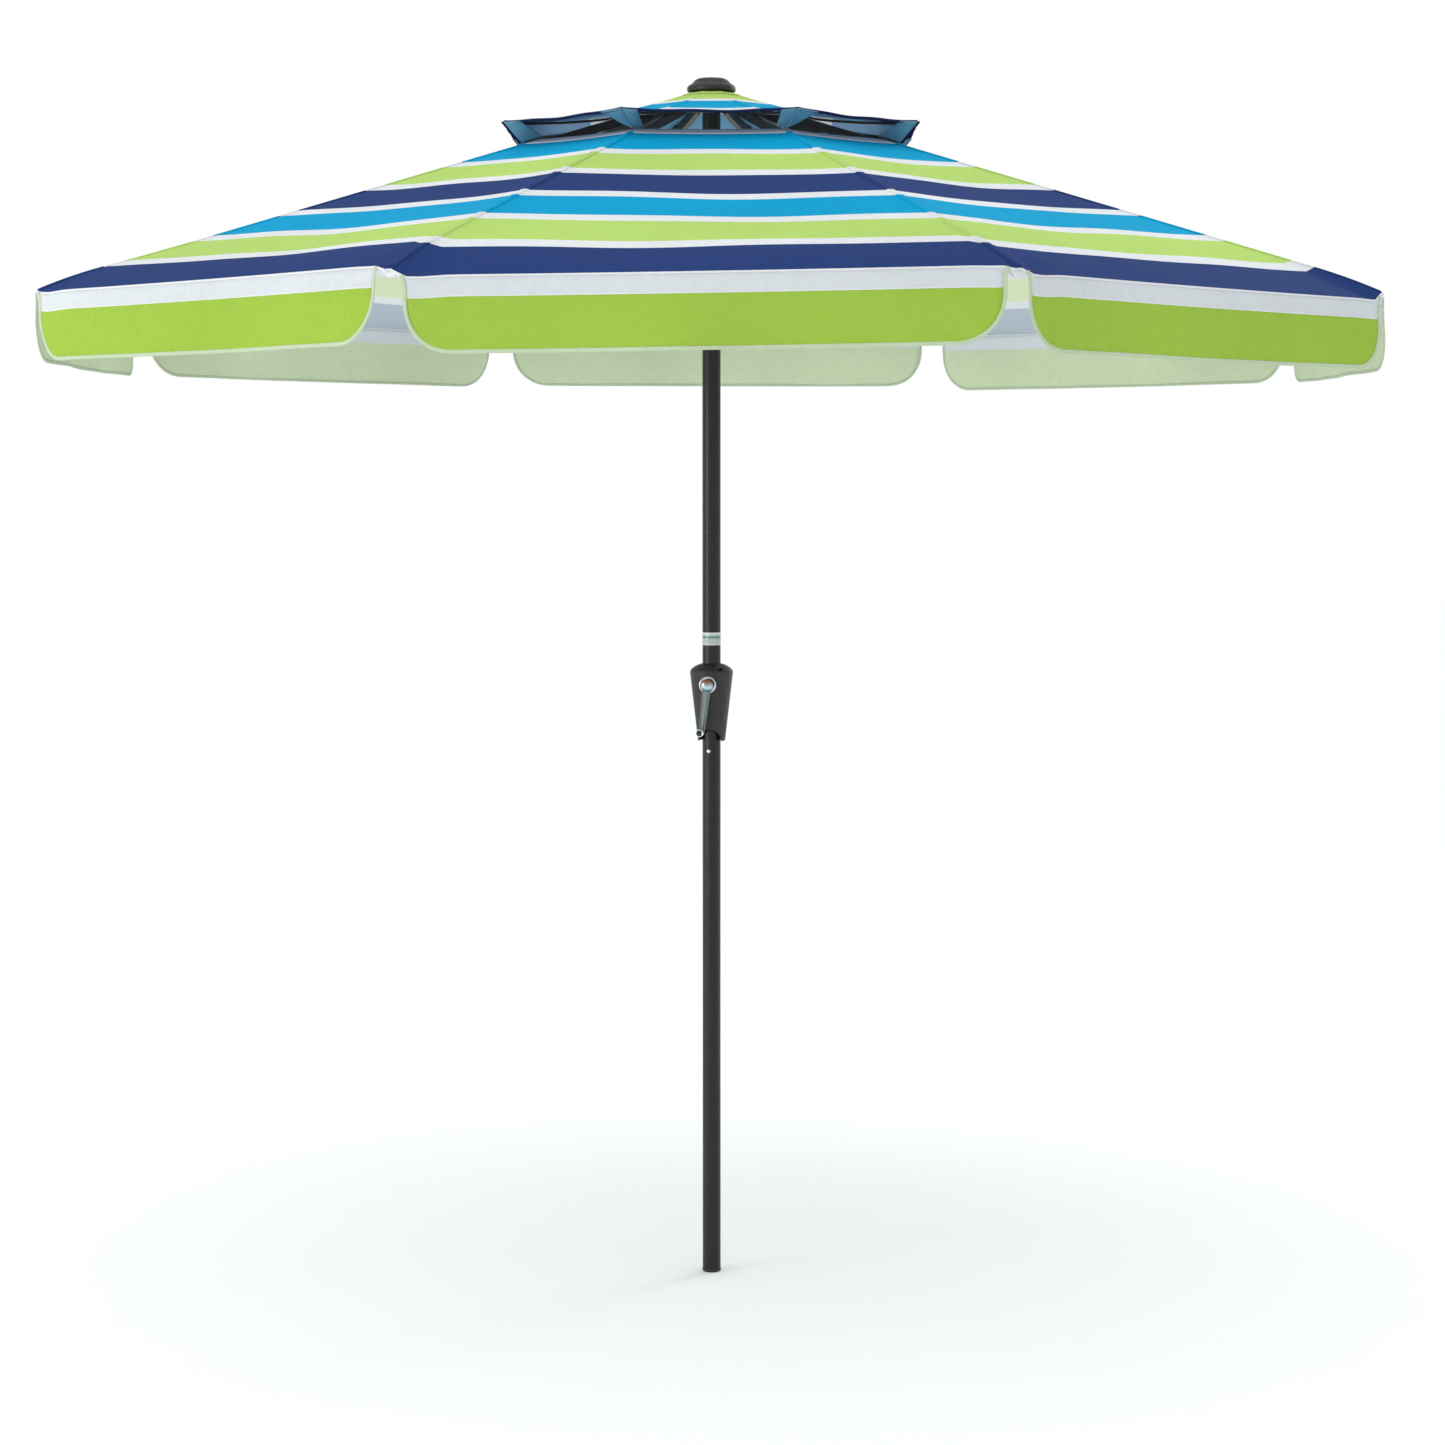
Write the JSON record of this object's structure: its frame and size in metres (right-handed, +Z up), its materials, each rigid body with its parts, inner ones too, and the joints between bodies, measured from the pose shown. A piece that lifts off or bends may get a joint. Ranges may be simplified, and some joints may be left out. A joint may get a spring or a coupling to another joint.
{
  "type": "market umbrella",
  "caption": "Crank-lift market umbrella with a straight two-piece pole, folding ribs, a vented striped canopy and hanging flaps.",
  "frame": {"origin": "centre of the pole's foot, on the surface that it stands on", "axes": "+Z up along the pole, -Y towards the front, where the crank is; ribs lie at 22.5 degrees and every 45 degrees"},
  "size_m": [2.5906, 2.5906, 2.5],
  "materials": {
    "bronze_metal": "satin dark bronze powder coat",
    "pole_metal": "satin dark bronze powder coat on aluminium tube",
    "dark_plastic": "satin dark bronze moulding",
    "black_plastic": "satin black moulding",
    "grey_plastic": "semi-gloss grey moulding",
    "chrome": "polished",
    "steel": "plain zinc",
    "cord": "braided",
    "canopy_fabric": "woven polyester, printed in stripes"
  },
  "bodies": {
    "pole": {"foot_plug": "black_plastic", "lower_pole": "pole_metal", "upper_pole": "pole_metal", "housing_front": "dark_plastic", "housing_back": "dark_plastic", "crank_ring": "chrome", "pulley_pin": "steel", "lift_cord": "cord", "hub_crown": "dark_plastic", "hub_ring": "steel", "finial": "dark_plastic", "top_canopy": "canopy_fabric"},
    "rib_1": {"rib_1": "bronze_metal", "vent_arm_1": "bronze_metal"},
    "rib_2": {"rib_2": "bronze_metal", "vent_arm_2": "bronze_metal"},
    "rib_3": {"rib_3": "bronze_metal", "vent_arm_3": "bronze_metal"},
    "rib_4": {"rib_4": "bronze_metal", "vent_arm_4": "bronze_metal"},
    "rib_5": {"rib_5": "bronze_metal", "vent_arm_5": "bronze_metal"},
    "rib_6": {"rib_6": "bronze_metal", "vent_arm_6": "bronze_metal"},
    "rib_7": {"rib_7": "bronze_metal", "vent_arm_7": "bronze_metal"},
    "rib_8": {"rib_8": "bronze_metal", "vent_arm_8": "bronze_metal"},
    "strut_1": {"strut_1": "bronze_metal"},
    "strut_2": {"strut_2": "bronze_metal"},
    "strut_3": {"strut_3": "bronze_metal"},
    "strut_4": {"strut_4": "bronze_metal"},
    "strut_5": {"strut_5": "bronze_metal"},
    "strut_6": {"strut_6": "bronze_metal"},
    "strut_7": {"strut_7": "bronze_metal"},
    "strut_8": {"strut_8": "bronze_metal"},
    "panel_1": {"canopy_panel_1": "canopy_fabric"},
    "panel_2": {"canopy_panel_2": "canopy_fabric"},
    "panel_3": {"canopy_panel_3": "canopy_fabric"},
    "panel_4": {"canopy_panel_4": "canopy_fabric"},
    "panel_5": {"canopy_panel_5": "canopy_fabric"},
    "panel_6": {"canopy_panel_6": "canopy_fabric"},
    "panel_7": {"canopy_panel_7": "canopy_fabric"},
    "panel_8": {"canopy_panel_8": "canopy_fabric"},
    "valance_1": {"valance_1": "canopy_fabric"},
    "valance_2": {"valance_2": "canopy_fabric"},
    "valance_3": {"valance_3": "canopy_fabric"},
    "valance_4": {"valance_4": "canopy_fabric"},
    "valance_5": {"valance_5": "canopy_fabric"},
    "valance_6": {"valance_6": "canopy_fabric"},
    "valance_7": {"valance_7": "canopy_fabric"},
    "valance_8": {"valance_8": "canopy_fabric"},
    "runner": {"runner": "dark_plastic", "runner_ring": "steel"},
    "pulley": {"hub_pulley": "steel"},
    "crank": {"crank_spool": "steel", "crank_arm": "grey_plastic", "crank_cap": "chrome"},
    "knob": {"crank_knob": "grey_plastic"},
    "button": {"snap_button": "chrome"}
  },
  "joints": [
    {"name": "canopy_fold", "type": "hinge", "parent": "pole", "child": "rib_1", "pos_m": [0.01378, -0.03326, 2.4552], "axis": [0.9239, 0.3827, 0], "range_deg": [0, 69], "deforming": ["lift_cord", "top_canopy"]},
    {"name": "rib_fold_2", "type": "hinge", "parent": "pole", "child": "rib_2", "pos_m": [0.03326, -0.01378, 2.4552], "axis": [0.3827, 0.9239, 0], "range_deg": [0, 69]},
    {"name": "rib_fold_3", "type": "hinge", "parent": "pole", "child": "rib_3", "pos_m": [0.03326, 0.01378, 2.4552], "axis": [-0.3827, 0.9239, 0], "range_deg": [0, 69]},
    {"name": "rib_fold_4", "type": "hinge", "parent": "pole", "child": "rib_4", "pos_m": [0.01378, 0.03326, 2.4552], "axis": [-0.9239, 0.3827, 0], "range_deg": [0, 69]},
    {"name": "rib_fold_5", "type": "hinge", "parent": "pole", "child": "rib_5", "pos_m": [-0.01378, 0.03326, 2.4552], "axis": [-0.9239, -0.3827, 0], "range_deg": [0, 69]},
    {"name": "rib_fold_6", "type": "hinge", "parent": "pole", "child": "rib_6", "pos_m": [-0.03326, 0.01378, 2.4552], "axis": [-0.3827, -0.9239, 0], "range_deg": [0, 69]},
    {"name": "rib_fold_7", "type": "hinge", "parent": "pole", "child": "rib_7", "pos_m": [-0.03326, -0.01378, 2.4552], "axis": [0.3827, -0.9239, 0], "range_deg": [0, 69]},
    {"name": "rib_fold_8", "type": "hinge", "parent": "pole", "child": "rib_8", "pos_m": [-0.01378, -0.03326, 2.4552], "axis": [0.9239, -0.3827, 0], "range_deg": [0, 69]},
    {"name": "strut_pivot_1", "type": "hinge", "parent": "rib_1", "child": "strut_1", "pos_m": [0.21603, -0.52155, 2.27009], "axis": [0.9239, 0.3827, 0], "range_deg": [-138, 0]},
    {"name": "strut_pivot_2", "type": "hinge", "parent": "rib_2", "child": "strut_2", "pos_m": [0.52155, -0.21603, 2.27009], "axis": [0.3827, 0.9239, 0], "range_deg": [-138, 0]},
    {"name": "strut_pivot_3", "type": "hinge", "parent": "rib_3", "child": "strut_3", "pos_m": [0.52155, 0.21603, 2.27009], "axis": [-0.3827, 0.9239, 0], "range_deg": [-138, 0]},
    {"name": "strut_pivot_4", "type": "hinge", "parent": "rib_4", "child": "strut_4", "pos_m": [0.21603, 0.52155, 2.27009], "axis": [-0.9239, 0.3827, 0], "range_deg": [-138, 0]},
    {"name": "strut_pivot_5", "type": "hinge", "parent": "rib_5", "child": "strut_5", "pos_m": [-0.21603, 0.52155, 2.27009], "axis": [-0.9239, -0.3827, 0], "range_deg": [-138, 0]},
    {"name": "strut_pivot_6", "type": "hinge", "parent": "rib_6", "child": "strut_6", "pos_m": [-0.52155, 0.21603, 2.27009], "axis": [-0.3827, -0.9239, 0], "range_deg": [-138, 0]},
    {"name": "strut_pivot_7", "type": "hinge", "parent": "rib_7", "child": "strut_7", "pos_m": [-0.52155, -0.21603, 2.27009], "axis": [0.3827, -0.9239, 0], "range_deg": [-138, 0]},
    {"name": "strut_pivot_8", "type": "hinge", "parent": "rib_8", "child": "strut_8", "pos_m": [-0.21603, -0.52155, 2.27009], "axis": [0.9239, -0.3827, 0], "range_deg": [-138, 0]},
    {"name": "runner_lift", "type": "hinge", "parent": "strut_1", "child": "runner", "pos_m": [0.01378, -0.03326, 2.08499], "axis": [0.9239, 0.3827, 0], "range_deg": [0, 69]},
    {"name": "panel_fold_1", "type": "hinge", "parent": "pole", "child": "panel_1", "pos_m": [0, -0.03326, 2.4552], "axis": [1, 0, 0], "range_deg": [0, 67.3], "deforming": ["canopy_panel_1"]},
    {"name": "panel_fold_2", "type": "hinge", "parent": "pole", "child": "panel_2", "pos_m": [0.02352, -0.02352, 2.4552], "axis": [0.7071, 0.7071, 0], "range_deg": [0, 67.3], "deforming": ["canopy_panel_2"]},
    {"name": "panel_fold_3", "type": "hinge", "parent": "pole", "child": "panel_3", "pos_m": [0.03326, 0, 2.4552], "axis": [0, 1, 0], "range_deg": [0, 67.3], "deforming": ["canopy_panel_3"]},
    {"name": "panel_fold_4", "type": "hinge", "parent": "pole", "child": "panel_4", "pos_m": [0.02352, 0.02352, 2.4552], "axis": [-0.7071, 0.7071, 0], "range_deg": [0, 67.3], "deforming": ["canopy_panel_4"]},
    {"name": "panel_fold_5", "type": "hinge", "parent": "pole", "child": "panel_5", "pos_m": [0, 0.03326, 2.4552], "axis": [-1, 0, 0], "range_deg": [0, 67.3], "deforming": ["canopy_panel_5"]},
    {"name": "panel_fold_6", "type": "hinge", "parent": "pole", "child": "panel_6", "pos_m": [-0.02352, 0.02352, 2.4552], "axis": [-0.7071, -0.7071, 0], "range_deg": [0, 67.3], "deforming": ["canopy_panel_6"]},
    {"name": "panel_fold_7", "type": "hinge", "parent": "pole", "child": "panel_7", "pos_m": [-0.03326, 0, 2.4552], "axis": [0, -1, 0], "range_deg": [0, 67.3], "deforming": ["canopy_panel_7"]},
    {"name": "panel_fold_8", "type": "hinge", "parent": "pole", "child": "panel_8", "pos_m": [-0.02352, -0.02352, 2.4552], "axis": [0.7071, -0.7071, 0], "range_deg": [0, 67.3], "deforming": ["canopy_panel_8"]},
    {"name": "valance_hang_1", "type": "hinge", "parent": "panel_1", "child": "valance_1", "pos_m": [0, -1.29388, 2.0264], "axis": [1, 0, 0], "range_deg": [-67.3, 0], "deforming": ["valance_1"]},
    {"name": "valance_hang_2", "type": "hinge", "parent": "panel_2", "child": "valance_2", "pos_m": [0.91491, -0.91491, 2.0264], "axis": [0.7071, 0.7071, 0], "range_deg": [-67.3, 0], "deforming": ["valance_2"]},
    {"name": "valance_hang_3", "type": "hinge", "parent": "panel_3", "child": "valance_3", "pos_m": [1.29388, 0, 2.0264], "axis": [0, 1, 0], "range_deg": [-67.3, 0], "deforming": ["valance_3"]},
    {"name": "valance_hang_4", "type": "hinge", "parent": "panel_4", "child": "valance_4", "pos_m": [0.91491, 0.91491, 2.0264], "axis": [-0.7071, 0.7071, 0], "range_deg": [-67.3, 0], "deforming": ["valance_4"]},
    {"name": "valance_hang_5", "type": "hinge", "parent": "panel_5", "child": "valance_5", "pos_m": [0, 1.29388, 2.0264], "axis": [-1, 0, 0], "range_deg": [-67.3, 0], "deforming": ["valance_5"]},
    {"name": "valance_hang_6", "type": "hinge", "parent": "panel_6", "child": "valance_6", "pos_m": [-0.91491, 0.91491, 2.0264], "axis": [-0.7071, -0.7071, 0], "range_deg": [-67.3, 0], "deforming": ["valance_6"]},
    {"name": "valance_hang_7", "type": "hinge", "parent": "panel_7", "child": "valance_7", "pos_m": [-1.29388, 0, 2.0264], "axis": [0, -1, 0], "range_deg": [-67.3, 0], "deforming": ["valance_7"]},
    {"name": "valance_hang_8", "type": "hinge", "parent": "panel_8", "child": "valance_8", "pos_m": [-0.91491, -0.91491, 2.0264], "axis": [0.7071, -0.7071, 0], "range_deg": [-67.3, 0], "deforming": ["valance_8"]},
    {"name": "crank_turn", "type": "hinge", "parent": "pole", "child": "crank", "pos_m": [0, 0, 1.247], "axis": [-0.1736, -0.9848, 0], "range_deg": [0, 3600]},
    {"name": "pulley_turn", "type": "hinge", "parent": "pole", "child": "pulley", "pos_m": [0, 0.014, 2.424], "axis": [-1, 0, 0], "range_deg": [0, 4170]},
    {"name": "knob_spin", "type": "hinge", "parent": "crank", "child": "knob", "pos_m": [-0.02272, -0.062, 1.14818], "axis": [-0.1736, -0.9848, 0], "continuous": true},
    {"name": "snap_press", "type": "slide", "parent": "pole", "child": "button", "axis": [0.3156, 0.9489, 0], "range_m": [0, 0.005], "stiffness_N_per_m": 400}
  ],
  "couplings": [
    {"joint": "rib_fold_2", "follows": "canopy_fold", "ratio": 1},
    {"joint": "rib_fold_3", "follows": "canopy_fold", "ratio": 1},
    {"joint": "rib_fold_4", "follows": "canopy_fold", "ratio": 1},
    {"joint": "rib_fold_5", "follows": "canopy_fold", "ratio": 1},
    {"joint": "rib_fold_6", "follows": "canopy_fold", "ratio": 1},
    {"joint": "rib_fold_7", "follows": "canopy_fold", "ratio": 1},
    {"joint": "rib_fold_8", "follows": "canopy_fold", "ratio": 1},
    {"joint": "strut_pivot_1", "follows": "canopy_fold", "ratio": -2},
    {"joint": "strut_pivot_2", "follows": "canopy_fold", "ratio": -2},
    {"joint": "strut_pivot_3", "follows": "canopy_fold", "ratio": -2},
    {"joint": "strut_pivot_4", "follows": "canopy_fold", "ratio": -2},
    {"joint": "strut_pivot_5", "follows": "canopy_fold", "ratio": -2},
    {"joint": "strut_pivot_6", "follows": "canopy_fold", "ratio": -2},
    {"joint": "strut_pivot_7", "follows": "canopy_fold", "ratio": -2},
    {"joint": "strut_pivot_8", "follows": "canopy_fold", "ratio": -2},
    {"joint": "runner_lift", "follows": "canopy_fold", "ratio": 1},
    {"joint": "panel_fold_1", "follows": "canopy_fold", "ratio": 0.975},
    {"joint": "panel_fold_2", "follows": "canopy_fold", "ratio": 0.975},
    {"joint": "panel_fold_3", "follows": "canopy_fold", "ratio": 0.975},
    {"joint": "panel_fold_4", "follows": "canopy_fold", "ratio": 0.975},
    {"joint": "panel_fold_5", "follows": "canopy_fold", "ratio": 0.975},
    {"joint": "panel_fold_6", "follows": "canopy_fold", "ratio": 0.975},
    {"joint": "panel_fold_7", "follows": "canopy_fold", "ratio": 0.975},
    {"joint": "panel_fold_8", "follows": "canopy_fold", "ratio": 0.975},
    {"joint": "valance_hang_1", "follows": "canopy_fold", "ratio": -0.975},
    {"joint": "valance_hang_2", "follows": "canopy_fold", "ratio": -0.975},
    {"joint": "valance_hang_3", "follows": "canopy_fold", "ratio": -0.975},
    {"joint": "valance_hang_4", "follows": "canopy_fold", "ratio": -0.975},
    {"joint": "valance_hang_5", "follows": "canopy_fold", "ratio": -0.975},
    {"joint": "valance_hang_6", "follows": "canopy_fold", "ratio": -0.975},
    {"joint": "valance_hang_7", "follows": "canopy_fold", "ratio": -0.975},
    {"joint": "valance_hang_8", "follows": "canopy_fold", "ratio": -0.975},
    {"joint": "crank_turn", "follows": "canopy_fold", "ratio": 52.17},
    {"joint": "pulley_turn", "follows": "canopy_fold", "ratio": 60.41}
  ]
}
